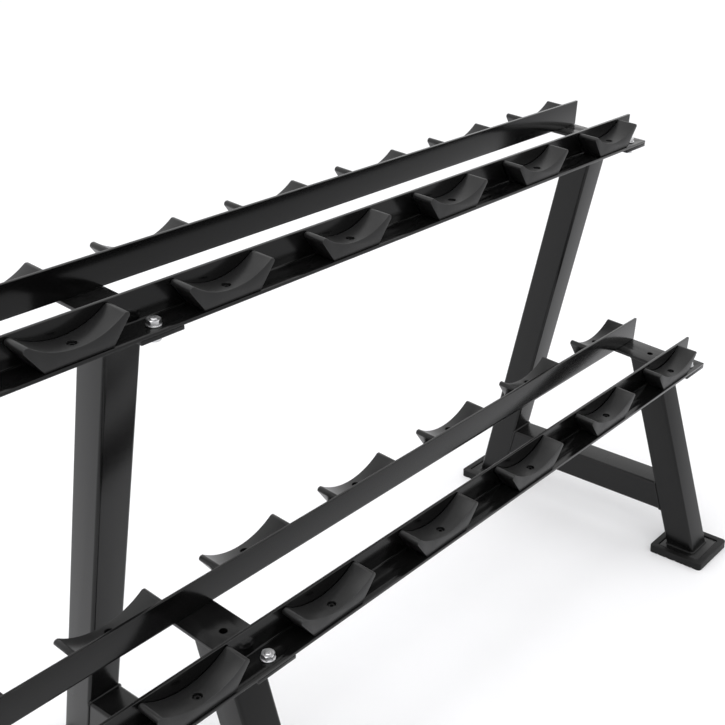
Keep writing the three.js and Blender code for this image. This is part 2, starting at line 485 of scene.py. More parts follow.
def use_group(tree, group, place, **values):
    node = tree.nodes.new("ShaderNodeGroup")
    node.node_tree = group
    feed(tree, place, node.inputs["Place"])
    for socket, value in values.items():
        feed(tree, value, node.inputs[socket.replace("_", " ")])
    return node


def grey(value):
    return (value, value, value * 1.015, 1.0)


print("a mid grey is", grey(0.5))

# %% [markdown]
# Powder coat, moulded rubber, zinc and black oxide differ in their numbers, not in how they are built.
# The recipe wires object coordinates into the groups, mixes a darker and a lighter tone, lightens edges
# with a tone that is partly wear and partly painted highlight, lightens dusty tops, and bends the light
# with a small bump. Numbers that are the same all over are set on the Principled shader itself.

# %% The recipe
DUST_TONE = 0.22
DUST_ROUGHNESS = 0.5  # added where the dust lies


def finish_material(name, tones, roughness, grain, bump, wear_and_highlight, dust, **shader_values):
    """Tones and roughness are (low, high). Grain is (grain scale, cloud scale, cloud contrast), bump
    is (strength, distance) and the edge pair is (lighter tone, amount): partly wear, partly painted
    highlight."""
    material = bpy.data.materials.new(name)
    material.use_nodes = True
    tree = material.node_tree
    shader = tree.nodes["Principled BSDF"]
    place = tree.nodes.new("ShaderNodeTexCoord").outputs["Object"]
    surface = use_group(tree, FINE_GRAIN, place, Grain_Scale=grain[0], Cloud_Scale=grain[1],
                        Cloud_Contrast=grain[2])
    colour = mix_colour(tree, surface.outputs["Tone"], grey(tones[0]), grey(tones[1]))
    edge = tree.nodes.new("ShaderNodeAttribute")
    edge.attribute_name = "edge"
    # Lighter edges: partly wear, partly a painted highlight on rounded edges.
    worn_and_highlit = use_group(tree, EDGE_WEAR_AND_HIGHLIGHT, place, Edge=edge.outputs["Fac"], Amount=wear_and_highlight[1])
    colour = mix_colour(tree, worn_and_highlit.outputs["Mask"], colour, grey(wear_and_highlight[0]))
    dusty = use_group(tree, DUST, place, Amount=dust)
    colour = mix_colour(tree, dusty.outputs["Mask"], colour, grey(DUST_TONE))
    feed(tree, colour, shader.inputs["Base Color"])
    rough = remap(tree, surface.outputs["Tone"], 0.2, 0.8, *roughness)
    dustier = calculate(tree, "MULTIPLY", dusty.outputs["Mask"], DUST_ROUGHNESS)
    rough = calculate(tree, "ADD", rough, dustier)
    feed(tree, rough, shader.inputs["Roughness"])
    relief = tree.nodes.new("ShaderNodeBump")
    relief.inputs["Strength"].default_value = bump[0]
    relief.inputs["Distance"].default_value = bump[1]
    feed(tree, surface.outputs["Height"], relief.inputs["Height"])
    feed(tree, relief.outputs["Normal"], shader.inputs["Normal"])
    for socket, value in shader_values.items():
        shader.inputs[socket.replace("_", " ")].default_value = value
    return material


print("recipe ready")

# %% [markdown]
# The frames have a satin powder coat and the rails a slightly glossier one. Both are almost black, so
# what they mirror gives them their tone. Saddles and feet are duller rubber. The bolts are zinc-plated
# and the saddle screws are blackened.

# %% Finishes
# The lighter edge tones below are partly wear and partly painted highlight.
FINISH = {
    "frame_paint": finish_material(
        "satin_frame_coat", tones=(0.002, 0.005), roughness=(0.20, 0.28), grain=(480.0, 7.0, 0.9),
        bump=(0.05, 0.0003), wear_and_highlight=(0.04, 0.5), dust=0.02, IOR=1.36,
    ),
    "rail_paint": finish_material(
        "satin_rail_coat", tones=(0.002, 0.004), roughness=(0.13, 0.20), grain=(520.0, 6.0, 0.9),
        bump=(0.04, 0.0003), wear_and_highlight=(0.04, 0.6), dust=0.01, IOR=1.36,
    ),
    "saddle_rubber": finish_material(
        "moulded_saddle_rubber", tones=(0.006, 0.010), roughness=(0.30, 0.38),
        grain=(900.0, 16.0, 1.0), bump=(0.16, 0.0004), wear_and_highlight=(0.04, 0.35), dust=0.03, IOR=1.40,
    ),
    "foot_rubber": finish_material(
        "moulded_foot_rubber", tones=(0.004, 0.007), roughness=(0.42, 0.56),
        grain=(700.0, 14.0, 1.0), bump=(0.2, 0.0005), wear_and_highlight=(0.03, 0.4), dust=0.02, IOR=1.29,
    ),
    "zinc_fastener": finish_material(
        "bright_zinc", tones=(0.62, 0.80), roughness=(0.26, 0.38), grain=(1500.0, 160.0, 1.6),
        bump=(0.06, 0.0002), wear_and_highlight=(0.85, 0.5), dust=0.02, Metallic=1.0,
    ),
    "black_screw": finish_material(
        "black_oxide", tones=(0.010, 0.022), roughness=(0.3, 0.42), grain=(1300.0, 120.0, 1.2),
        bump=(0.06, 0.0002), wear_and_highlight=(0.12, 0.5), dust=0.05, Metallic=0.6,
    ),
}
print("finishes:", {slot: material.name for slot, material in FINISH.items()})

# %% [markdown]
# ## Marking rounded edges
# The bevel modifier can give the faces it makes their own material number. That number is read back
# after the bevel and written into an attribute named edge, which the group for edge wear and painted
# edge highlight uses. It is sharper and cheaper than finding edges while rendering.

# %% Rounding and finishing


def round_and_mark(piece, width, segments=3, sharper_than=SHARP_ANGLE):
    while len(piece.data.materials) < 2:
        piece.data.materials.append(None)
    apply_modifier(
        piece, "BEVEL", width=width, segments=segments, limit_method="ANGLE", material=1,
        angle_limit=math.radians(sharper_than), use_clamp_overlap=True,
    )
    return piece


def write_edge_attribute(piece):
    mesh = piece.data
    marked = [float(polygon.material_index == 1) for polygon in mesh.polygons]
    attribute = mesh.attributes.new("edge", "FLOAT", "FACE")
    attribute.data.foreach_set("value", marked)
    mesh.materials.clear()
    for polygon in mesh.polygons:
        polygon.material_index = 0


def finish_mesh(piece, sharper_than=SHARP_ANGLE):
    outward_normals(piece)
    write_edge_attribute(piece)
    smooth(piece, sharper_than)
    return piece


def hand_over(piece, slot, replaced=()):
    """Gives the piece its finish, ties it to the rack and hides the solids that it stands for."""
    piece.data.materials.clear()
    piece.data.materials.append(FINISH[slot])
    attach(piece, "root")
    if replaced:
        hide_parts(*replaced)


print("finishing ready")

# %% [markdown]
# ## Angle rails
# A tier's two rails are steel angles. The level flange carries the saddles and the upright flange keeps
# the dumbbell heads apart. Each starts as a flat bar: one cut marks off the strip next to the gap, and
# that strip is extruded upwards. Holes for the frame bolts and the saddle screws are drilled with
# rods, and every edge gets the small radius that catches the light.

# %% Rail and saddle rows
RAIL_EDGE = 0.0007
ROOT_FILLET = 0.0026  # the rolled inside corner of the angle
SADDLE_SCREW_RADIUS = 0.003
SCREW_HOLE_RADIUS = 0.0033
SADDLE_FRONT_INSET = 0.0025  # back from the rail's outer edge
SADDLE_BACK_GAP = 0.0012  # clear of the upright flange
SADDLE_DEPTH = RAIL_WIDTH - RAIL_THICKNESS - SADDLE_BACK_GAP - SADDLE_FRONT_INSET
SADDLE_OUT = RAIL_SPACING / 2 + RAIL_THICKNESS + SADDLE_BACK_GAP + SADDLE_DEPTH / 2
SCREW_OFFSET = 0.0035  # the screw sits this far outside the saddle's middle
print("saddles are", round(SADDLE_DEPTH, 4), "m deep")

# %% [markdown]
# The front rail is modelled level, at the middle of the rack, with the gap behind it. The inside corner
# gets its rolled fillet before the holes are drilled, while its edge is still one straight line.

# %% Front rail


def model_rail():
    inner, outer = RAIL_SPACING / 2, RAIL_SPACING / 2 + RAIL_WIDTH
    rail = block("rail", (RAIL_LENGTH, RAIL_WIDTH, RAIL_THICKNESS),
                 (0.0, -(inner + outer) / 2, GAP + RAIL_THICKNESS / 2))
    strip = -(inner + RAIL_THICKNESS)
    pick(rail, "FACE", lambda face: True)
    bpy.ops.mesh.bisect(plane_co=(0.0, strip, 0.0), plane_no=(0.0, 1.0, 0.0))
    close_edit()
    pick(rail, "FACE", lambda face: face.normal.z > MOSTLY and middle_of(face).y > strip)
    rise = {"value": (0.0, 0.0, RAIL_HEIGHT - RAIL_THICKNESS)}
    bpy.ops.mesh.extrude_region_move(TRANSFORM_OT_translate=rise)
    close_edit()
    root = Vector((0.0, strip, GAP + RAIL_THICKNESS))

    def at_root(edge):
        away = middle_of(edge) - root
        return abs(edge_direction(edge).x) > MOSTLY and abs(away.y) < CLOSE and abs(away.z) < CLOSE

    pick(rail, "EDGE", at_root)
    bpy.ops.mesh.bevel(offset=ROOT_FILLET, segments=6, affect="EDGES")
    close_edit()
    through = 4 * RAIL_THICKNESS
    screw_row = -SADDLE_OUT - SCREW_OFFSET
    drills = [rod("drill", BOLT_HOLE_RADIUS, through, (x, -BOLT_FROM_CENTRE, 0.0))
              for x in FRAME_X.values()]
    drills += [rod("drill", SCREW_HOLE_RADIUS, through, (x, screw_row, 0.0), 24) for x in SADDLE_X]
    combine(rail, "DIFFERENCE", drills)
    round_and_mark(rail, RAIL_EDGE)
    return finish_mesh(rail)


rail = model_rail()
print("rail:", face_count(rail), "faces")

# %% [markdown]
# The rear rail is the front one turned half round, so both come from one mesh. Each copy goes onto its
# tilted tier with the tier's matrix.

# %% Four rails
HALF_TURN = Matrix.Rotation(math.pi, 4, "Z")
TURN = {"front": Matrix.Identity(4), "rear": HALF_TURN}
for tier in TIERS:
    for row in SIDES:
        name = f"{tier}_{row}_rail"
        hand_over(copy_to(rail, f"{name}_angle", SHELF[tier] @ TURN[row]), "rail_paint", [name])
bpy.data.objects.remove(rail)
print("rails placed")

# %% [markdown]
# ## Saddles
# A saddle is a rubber moulding that stops a dumbbell's handle end from rolling. The cradle is cut from
# a block with a large rod lying across it, and two slanting cuts take the corners off below. The two
# tips get a bigger radius than the other edges, as in a mould. The screw's counterbore is cut last,
# with a cutter that flares out at the rim, because a bevel would choke on the tiny edges there.

# %% Saddle sizes
SADDLE_BASE = 0.097  # length of the sole
SADDLE_SPAN = 0.147  # from tip to tip
SADDLE_HEIGHT = 0.040
SADDLE_SHOULDER = 0.034  # the slanting ends stop this high
SADDLE_CRADLE = 0.0175  # thickness at the lowest point
SADDLE_TIP = 0.007  # flat on top of each tip
SADDLE_TIP_RADIUS = 0.0045
SADDLE_EDGE = 0.0009
RECESS_RADIUS = 0.0065
RECESS_FLOOR = 0.009
RECESS_FLARE = 0.0006


def cradle_radius():
    lip = SADDLE_SPAN / 2 - SADDLE_TIP
    sag = SADDLE_HEIGHT - SADDLE_CRADLE
    return (lip * lip + sag * sag) / (2 * sag)


print("cradle radius", round(cradle_radius(), 4), "m")

# %% [markdown]
# The same profile could be drawn flat and extruded. Cutting it out of a block takes fewer points to
# place, and the rod gives a true round cradle.

# %% Saddle
CRADLE_CUTTER = 0.1
SADDLE_DRILL = 0.05
PAST_RIM = 0.02  # the recess cutter sticks out this far


def flared_cutter(radius, bottom, rim, flare):
    """A round cutter from bottom up, which widens by flare round the rim height."""
    cutter = rod("cutter", radius, rim - bottom, (0.0, -SCREW_OFFSET, (rim + bottom) / 2), 40)
    pick(cutter, "FACE", lambda face: face.normal.z > MOSTLY)
    widen = 1 + 2 * flare / radius
    bpy.ops.mesh.extrude_region_move(TRANSFORM_OT_translate={"value": (0.0, 0.0, 2 * flare)})
    bpy.ops.transform.resize(value=(widen, widen, 1.0))
    bpy.ops.mesh.extrude_region_move(TRANSFORM_OT_translate={"value": (0.0, 0.0, PAST_RIM)})
    close_edit()
    return cutter


def model_saddle():
    tip = SADDLE_SPAN / 2
    saddle = block("saddle", (SADDLE_SPAN, SADDLE_DEPTH, SADDLE_HEIGHT),
                   (0.0, 0.0, SADDLE_HEIGHT / 2))
    radius = cradle_radius()
    across = rod("cradle_cutter", radius, CRADLE_CUTTER, (0.0, 0.0, SADDLE_CRADLE + radius), 240,
                 (math.pi / 2, 0.0, 0.0))
    combine(saddle, "DIFFERENCE", [across])
    for side in (-1, 1):
        foot = Vector((side * SADDLE_BASE / 2, 0.0, 0.0))
        slant = Vector((side * (tip - SADDLE_BASE / 2), 0.0, SADDLE_SHOULDER))
        slice_off(saddle, foot, (side * slant.z, 0.0, -abs(slant.x)))

    def at_tip(edge):
        middle = middle_of(edge)
        outermost = abs(middle.x) > tip - CLOSE and middle.z > SADDLE_HEIGHT - CLOSE
        return outermost and abs(edge_direction(edge).y) > MOSTLY

    pick(saddle, "EDGE", at_tip)
    bpy.ops.mesh.bevel(offset=SADDLE_TIP_RADIUS, segments=6, affect="EDGES")
    close_edit()
    outward_normals(saddle)
    round_and_mark(saddle, SADDLE_EDGE, 3, 24.0)
    combine(saddle, "DIFFERENCE", [
        flared_cutter(RECESS_RADIUS, RECESS_FLOOR, SADDLE_CRADLE, RECESS_FLARE),
        rod("drill", SCREW_HOLE_RADIUS, SADDLE_DRILL, (0.0, -SCREW_OFFSET, 0.0), 24),
    ])
    return finish_mesh(saddle, 28.0)


saddle = model_saddle()
print("saddle:", face_count(saddle), "faces")

# %% [markdown]
# Ten saddles stand on each rail, evenly spaced, with a hair's breadth of air below them. One matrix puts
# any piece on any rail, and turns it half round on the rear ones.

# %% Forty saddles
SADDLE_BASE_Z = RAIL_THICKNESS + 2 * GAP


def on_rail(tier, row, x, out, height):
    """The matrix that puts a piece modelled at the origin on a rail, facing the user or the back."""
    place = Matrix.Translation((x, SIDES[row] * out, height))
    return SHELF[tier] @ place @ TURN[row]


for tier in TIERS:
    for row in SIDES:
        for number, x in zip(PLACES, SADDLE_X):
            name = f"{tier}_{row}_saddle_{number}"
            spot = on_rail(tier, row, x, SADDLE_OUT, SADDLE_BASE_Z)
            hand_over(copy_to(saddle, f"{name}_moulding", spot), "saddle_rubber", [name])
bpy.data.objects.remove(saddle)
print("saddles placed")

# %% [markdown]
# ## Saddle screws
# Each saddle is held by one socket screw, sunk below the cradle so that it can't scratch a handle. The
# head is a short rod with a hexagonal socket, the shank runs down through the rubber and the rail, and
# a small nut closes it under the flange.

# %% Thread
THREAD_RIDGES = 4
THREAD_ROOT = 0.86  # radius between two ridges, as a share of the full one
TIP_INSET = 0.12
TIP_RISE = 0.08


def threaded_end(name, radius, top, bottom, pitch):
    """A shaft whose last stretch has ridges: the end cap is drawn out, narrowed and widened in turn."""
    length = top - bottom - THREAD_RIDGES * pitch
    shaft = rod(name, radius, length, (0.0, 0.0, bottom + length / 2), 32)
    for _ in range(THREAD_RIDGES):
        for share in (THREAD_ROOT, 1 / THREAD_ROOT):
            pick(shaft, "FACE", lambda face: face.normal.z > MOSTLY)
            bpy.ops.mesh.extrude_region_move(
                TRANSFORM_OT_translate={"value": (0.0, 0.0, pitch / 2)})
            bpy.ops.transform.resize(value=(share, share, 1.0))
            close_edit()
    pick(shaft, "FACE", lambda face: face.normal.z > MOSTLY)
    bpy.ops.mesh.inset(thickness=TIP_INSET * radius, depth=TIP_RISE * radius)
    close_edit()
    return shaft


print("thread ready")

# %% [markdown]
# A nut is a hexagonal prism whose corners are turned off on a lathe. The prism is intersected with a
# rod that narrows at both ends, which leaves the curved line on each flat that a real nut has. The same
# shape without a hole is the head of a bolt.

# %% Nut
CORNER_DROP = 0.12  # height of the turned corners, as a share of the nut's
CORNER_SHARE = 0.88  # radius of the turned ends, as a share of the nut's


def hexagon_nut(name, radius, height, bottom, hole):
    """A hexagonal prism with turned corners and a hole right through, unless the hole is zero."""
    drop = CORNER_DROP * height
    prism = rod(name, radius, height, (0.0, 0.0, bottom + height / 2), 6)
    turned = rod("turned", radius, height - 2 * drop, (0.0, 0.0, bottom + height / 2), 48)
    for way in (-1, 1):
        pick(turned, "FACE", lambda face: face.normal.z * way > MOSTLY)
        bpy.ops.mesh.extrude_region_move(TRANSFORM_OT_translate={"value": (0.0, 0.0, way * drop)})
        bpy.ops.transform.resize(value=(CORNER_SHARE, CORNER_SHARE, 1.0))
        close_edit()
    combine(prism, "INTERSECT", [turned])
    if hole:
        combine(prism, "DIFFERENCE", [rod("drill", hole, 2 * height, (0.0, 0.0, bottom), 32)])
    return prism


print("nut ready")

# %% [markdown]
# Head and shank are one screw, so they end up as two shells in one object. The shank is modelled with
# its thread upwards and then turned over.

# %% Saddle screw
SCREW_HEAD_RADIUS = 0.005
SCREW_HEAD_HEIGHT = 0.0055
SCREW_HEAD_EDGE = 0.0005
SCREW_PITCH = 0.001
SCREW_SHOWING = 0.002  # past its nut
SOCKET_RADIUS = 0.0029
SOCKET_CUTTER = 0.007  # twice the socket's depth
SHAFT_OVERLAP = 0.001  # a shaft starts this deep in its head
SMALL_NUT_RADIUS = 0.0058
SMALL_NUT_HEIGHT = 0.005
SMALL_NUT_PLAY = 0.0001


def model_saddle_screw():
    under_head = RECESS_FLOOR + GAP
    head = rod("head", SCREW_HEAD_RADIUS, SCREW_HEAD_HEIGHT,
               (0.0, 0.0, under_head + SCREW_HEAD_HEIGHT / 2), 40)
    round_and_mark(head, SCREW_HEAD_EDGE, 3)
    socket_middle = (0.0, 0.0, under_head + SCREW_HEAD_HEIGHT)
    combine(head, "DIFFERENCE", [rod("socket", SOCKET_RADIUS, SOCKET_CUTTER, socket_middle, 6)])
    length = under_head + SADDLE_BASE_Z + SMALL_NUT_HEIGHT + SCREW_SHOWING
    shank = threaded_end("shank", SADDLE_SCREW_RADIUS, length, -SHAFT_OVERLAP, SCREW_PITCH)
    upside_down = Matrix.Rotation(math.pi, 4, "X")
    shank.data.transform(Matrix.Translation((0.0, 0.0, under_head)) @ upside_down)
    return finish_mesh(join([head, shank], "saddle_screw"))


saddle_screw = model_saddle_screw()
nut_top = -SADDLE_BASE_Z - GAP
small_nut = finish_mesh(hexagon_nut("small_nut", SMALL_NUT_RADIUS, SMALL_NUT_HEIGHT,
                                    nut_top - SMALL_NUT_HEIGHT, SADDLE_SCREW_RADIUS + SMALL_NUT_PLAY))
print("saddle screw:", face_count(saddle_screw), "faces, nut:", face_count(small_nut), "faces")

# %% Forty screws and nuts
for tier in TIERS:
    for row in SIDES:
        for number, x in zip(PLACES, SADDLE_X):
            name = f"{tier}_{row}_saddle_{number}"
            spot = on_rail(tier, row, x, SADDLE_OUT + SCREW_OFFSET, SADDLE_BASE_Z)
            hand_over(copy_to(saddle_screw, f"{name}_screw", spot), "black_screw")
            hand_over(copy_to(small_nut, f"{name}_nut", spot), "zinc_fastener")
bpy.data.objects.remove(saddle_screw)
bpy.data.objects.remove(small_nut)
print("saddle screws placed")

# %% [markdown]
# ## Welded frames
# Three frames carry the tiers. Each has a long sloping upright to the upper plate, a short leg to the
# lower plate and a crossbar between them, all from square tube with rolled corners. A tube starts as a
# block: its four long edges are rounded, it is turned into the line of the leg, and planes trim its
# ends. The drilled plates are rounded on their own, and then everything is united into one closed skin.

# %% Lines of the legs
FOOT_Y = box_centre("middle_rear_foot").y


def side_point(y, z):
    return Vector((0.0, y, z))


def leg_line(side, tier):
    """Start on the floor and end at the tier's middle, seen from the side."""
    return side_point(side * FOOT_Y, 0.0), side_point(*SHELF[tier].translation.yz)


LEG_LINES = {"upright": leg_line(1, "upper"), "leg": leg_line(-1, "lower")}
for part, (start, end) in LEG_LINES.items():
    print(part, round((end - start).length, 3), "m long")

# %% [markdown]
# A tube could be extruded from its outline. A block with four rounded edges gives the same skin in
# fewer steps. It starts a little too long, and planes saw it off at the plates.

# %% Tubes
LEG_RUN_OUT = 0.06  # left on both ends of a leg for trimming
BASE_PLATE = (0.090, 0.090, 0.004)
BASE_PLATE_BOTTOM = 0.0103


def along_line(start, end):
    """A matrix whose Z runs along the line and whose origin is at its start."""
    turn = (end - start).to_track_quat("Z", "Y").to_matrix().to_4x4()
    return Matrix.Translation(start) @ turn


def tube(name, start, end, run_out):
    length = (end - start).length
    bar = block(name, (TUBE, TUBE, length + 2 * run_out), (0.0, 0.0, length / 2))
    pick(bar, "EDGE", lambda edge: abs(edge_direction(edge).z) > MOSTLY)
    bpy.ops.mesh.bevel(offset=TUBE_RADIUS, segments=7, affect="EDGES")
    close_edit()
    bar.data.transform(along_line(start, end))
    return bar


def trimmed_leg(part, tier):
    bar = tube(part, *LEG_LINES[part], LEG_RUN_OUT)
    slice_off(bar, (0.0, 0.0, BASE_PLATE_BOTTOM + BASE_PLATE[2] / 2), (0.0, 0.0, -1.0))
    up = SHELF[tier].to_3x3() @ Vector((0.0, 0.0, 1.0))
    slice_off(bar, SHELF[tier] @ Vector((0.0, 0.0, -PLATE_THICKNESS / 2)), up)
    return bar


print("tubes ready")

# %% [markdown]
# A tier plate is a flat bar with two bolt holes, tilted with its tier. A base plate is square, level and
# rounded at its corners, because it has to drop into the foot.

# %% Plates
PLATE_DEPTH = RAIL_SPACING + 2 * RAIL_WIDTH
PLATE_EDGE = 0.0007
PLATE_DRILL = 0.03
BASE_PLATE_CORNER = 0.004


def tier_plate(tier):
    plate = block("plate", (PLATE_WIDTH, PLATE_DEPTH, PLATE_THICKNESS),
                  (0.0, 0.0, -PLATE_THICKNESS / 2))
    for side in (-1, 1):
        spot = (0.0, side * BOLT_FROM_CENTRE, 0.0)
        drill = rod("drill", BOLT_HOLE_RADIUS, PLATE_DRILL, spot)
        combine(plate, "DIFFERENCE", [drill])
    round_and_mark(plate, PLATE_EDGE)
    plate.data.transform(SHELF[tier])
    return plate


def base_plate(side):
    plate = block("base_plate", BASE_PLATE,
                  (0.0, side * FOOT_Y, BASE_PLATE_BOTTOM + BASE_PLATE[2] / 2))
    pick(plate, "EDGE", lambda edge: abs(edge_direction(edge).z) > MOSTLY)
    bpy.ops.mesh.bevel(offset=BASE_PLATE_CORNER, segments=5, affect="EDGES")
    close_edit()
    return round_and_mark(plate, PLATE_EDGE, 2)


print("tier plates are", round(PLATE_DEPTH, 3), "m deep")

# %% [markdown]
# The crossbar runs level from one leg's middle line to the other's. A round hole through the lower plate
# lets air and coating in and out of the leg below it.

# %% One frame's skin
CROSSBAR_Z = 0.118
VENT_HOLE_RADIUS = 0.006
VENT_DRILL = 0.06


def crossbar():
    ends = [start.lerp(end, CROSSBAR_Z / end.z) for start, end in LEG_LINES.values()]
    return tube("crossbar", *ends, 0.0)


def model_frame_skin():
    skin = trimmed_leg("upright", "upper")
    combine(skin, "UNION", [trimmed_leg("leg", "lower"), crossbar()])
    plates = [tier_plate("upper"), tier_plate("lower"), base_plate(1), base_plate(-1)]
    combine(skin, "UNION", plates)
    vent = rod("vent", VENT_HOLE_RADIUS, VENT_DRILL, (0.0, 0.0, 0.0), 32)
    vent.data.transform(SHELF["lower"])
    combine(skin, "DIFFERENCE", [vent])
    return skin


frame_skin = model_frame_skin()
print("frame skin:", face_count(frame_skin), "faces")

# %% [markdown]
# ## Weld beads
# A weld bead is a row of small overlapping ripples laid into the corner between two pieces. Here it is
# a curve around the tube, exactly where the tube meets a plate or the other tube, with a thickness that
# swells and shrinks from point to point. It is then turned into a mesh and sits half sunk in the steel.

# %% Paths of the beads
RIPPLE = 0.0022  # from one ripple to the next
POINTS_PER_RIPPLE = 4


def tube_outline():
    """Points round the tube's section, evenly spaced along its flats and corners."""
    flat = TUBE / 2 - TUBE_RADIUS
    quarter = TUBE_RADIUS * math.pi / 2
    around = 4 * (2 * flat + quarter)
    count = POINTS_PER_RIPPLE * round(around / RIPPLE)
    points = []
    for step in range(count):
        side, along = divmod(step * around / count, 2 * flat + quarter)
        if along < 2 * flat:
            point = Vector((TUBE / 2, along - flat, 0.0))
        else:
            angle = (along - 2 * flat) / TUBE_RADIUS
            point = Vector((flat + TUBE_RADIUS * math.cos(angle),
                            flat + TUBE_RADIUS * math.sin(angle), 0.0))
        points.append(Matrix.Rotation(side * math.pi / 2, 3, "Z") @ point)
    return points


def onto_plane(points, placed, plane_point, plane_normal):
    """Slides each point along the tube until it lies on the plane."""
    along = placed.to_3x3() @ Vector((0.0, 0.0, 1.0))
    slid = []
    for point in points:
        start = placed @ point
        distance = (plane_point - start).dot(plane_normal) / along.dot(plane_normal)
        slid.append(start + along * distance)
    return slid


print("points round a tube:", len(tube_outline()))

# %% Beads of one frame
BEAD_RADIUS = 0.0026
BEAD_WAIST = 0.94  # the thinnest place, as a share of the radius
BEAD_SWELL = 0.10  # and how much a ripple adds
BEAD_PHASE = 0.4


def weld_bead(name, points):
    curve = bpy.data.curves.new(name, "CURVE")
    curve.dimensions = "3D"
    curve.bevel_depth = BEAD_RADIUS
    curve.bevel_resolution = 2
    curve.use_fill_caps = True
    spline = curve.splines.new("POLY")
    spline.points.add(len(points) - 1)
    for index, (item, place) in enumerate(zip(spline.points, points)):
        item.co = (*place, 1.0)
        turn = math.pi * index / POINTS_PER_RIPPLE + BEAD_PHASE
        item.radius = BEAD_WAIST + BEAD_SWELL * abs(math.sin(turn))
    spline.use_cyclic_u = True
    bead = bpy.data.objects.new(name, curve)
    bpy.context.scene.collection.objects.link(bead)
    select_only(bead)
    bpy.ops.object.convert(target="MESH")
    return bpy.context.active_object


def model_beads():
    outline = tube_outline()
    beads = []
    for (start, end), tier in zip(LEG_LINES.values(), TIERS):
        placed = along_line(start, end)
        up = SHELF[tier].to_3x3() @ Vector((0.0, 0.0, 1.0))
        under = SHELF[tier] @ Vector((0.0, 0.0, -PLATE_THICKNESS))
        beads.append(weld_bead("top_bead", onto_plane(outline, placed, under, up)))
        base = Vector((0.0, 0.0, BASE_PLATE_BOTTOM + BASE_PLATE[2]))
        beads.append(weld_bead("base_bead", onto_plane(outline, placed, base, Vector((0, 0, 1)))))
    bar = along_line(side_point(FOOT_Y, CROSSBAR_Z), side_point(-FOOT_Y, CROSSBAR_Z))
    for (start, end), way in zip(LEG_LINES.values(), (-1, 1)):
        along = (end - start).normalized()
        face_normal = Vector((0.0, way * along.z, -way * along.y))
        face_point = start + face_normal * TUBE / 2
        beads.append(weld_bead("bar_bead", onto_plane(outline, bar, face_point, face_normal)))
    return beads


beads = model_beads()
frame_model = join([frame_skin, *beads], "frame_model")
print("frame with beads:", face_count(frame_model), "faces")

# %% [markdown]
# The three frames are alike, so the finished one is copied to the places that the design model gives.

# %% Three frames
finish_mesh(frame_model)
for name, x in FRAME_X.items():
    placed = copy_to(frame_model, f"{name}_welded_frame", Matrix.Translation((x, 0.0, 0.0)))
    hand_over(placed, "frame_paint", [f"{name}_frame"])
bpy.data.objects.remove(frame_model)
print("frames placed")

# %% [markdown]
# ## Rubber feet
# Every leg ends in a base plate that sits in a thick rubber foot. The foot is a block with rounded
# corners and a sunk bed for the plate, so a rim of rubber stands round the steel. Grooves across the
# sole help it to grip.

# %% Feet
FOOT_SIZE = (0.118, 0.118, 0.016)
FOOT_CORNER = 0.007
FOOT_EDGE = 0.0016
BED_CLEARANCE = 0.001
BED_CORNER = 0.005
BED_CUTTER = 0.02  # height, so that it sticks out above the rim
GROOVES = 5
GROOVE_SIZE = (0.13, 0.003, 0.003)  # half of the height cuts into the sole


def rounded_block(name, size, centre, corner):
    piece = block(name, size, centre)
    pick(piece, "EDGE", lambda edge: abs(edge_direction(edge).z) > MOSTLY)
    bpy.ops.mesh.bevel(offset=corner, segments=6, affect="EDGES")
    close_edit()
    return piece


def model_foot():
    foot = rounded_block("foot", FOOT_SIZE, (0.0, 0.0, FOOT_SIZE[2] / 2), FOOT_CORNER)
    floor = BASE_PLATE_BOTTOM - GAP
    bed_size = (*(side + 2 * BED_CLEARANCE for side in BASE_PLATE[:2]), BED_CUTTER)
    bed = rounded_block("bed", bed_size, (0.0, 0.0, floor + BED_CUTTER / 2), BED_CORNER)
    combine(foot, "DIFFERENCE", [bed])
    spacing = FOOT_SIZE[1] / (GROOVES + 1)
    for number in range(GROOVES):
        y = (number + 1) * spacing - FOOT_SIZE[1] / 2
        combine(foot, "DIFFERENCE", [block("groove", GROOVE_SIZE, (0.0, y, 0.0))])
    round_and_mark(foot, FOOT_EDGE, 4)
    return finish_mesh(foot)


foot = model_foot()
print("foot:", face_count(foot), "faces")

# %% Six feet
for frame_name, x in FRAME_X.items():
    for row, side in SIDES.items():
        name = f"{frame_name}_{row}_foot"
        placed = copy_to(foot, f"{name}_pad", Matrix.Translation((x, side * FOOT_Y, 0.0)))
        hand_over(placed, "foot_rubber", [name])
bpy.data.objects.remove(foot)
print("feet placed")

# %% [markdown]
# ## Frame bolts
# Twelve zinc-plated bolts clamp the rails to the plates, one where each rail crosses each frame. The
# nut is on top, with a washer below it and the end of the thread showing. Under the plate are another
# washer and the bolt's hexagonal head.

# %% Bolt
BOLT_RADIUS = 0.005
NUT_RADIUS = 0.0098  # across the corners
NUT_HEIGHT = 0.0066
HEAD_HEIGHT = 0.0064
WASHER_RADIUS = 0.0105
WASHER_THICKNESS = 0.002
WASHER_HOLE_RADIUS = 0.0053
WASHER_EDGE = 0.0003
WASHER_DRILL = 0.02
NUT_PLAY = 0.0002
THREAD_PITCH = 0.0015
THREAD_SHOWING = 0.001


def washer(bottom):
    ring = rod("washer", WASHER_RADIUS, WASHER_THICKNESS, (0.0, 0.0, bottom + WASHER_THICKNESS / 2))
    drill = rod("drill", WASHER_HOLE_RADIUS, WASHER_DRILL, (0.0, 0.0, bottom), 32)
    combine(ring, "DIFFERENCE", [drill])
    return finish_mesh(round_and_mark(ring, WASHER_EDGE, 2))


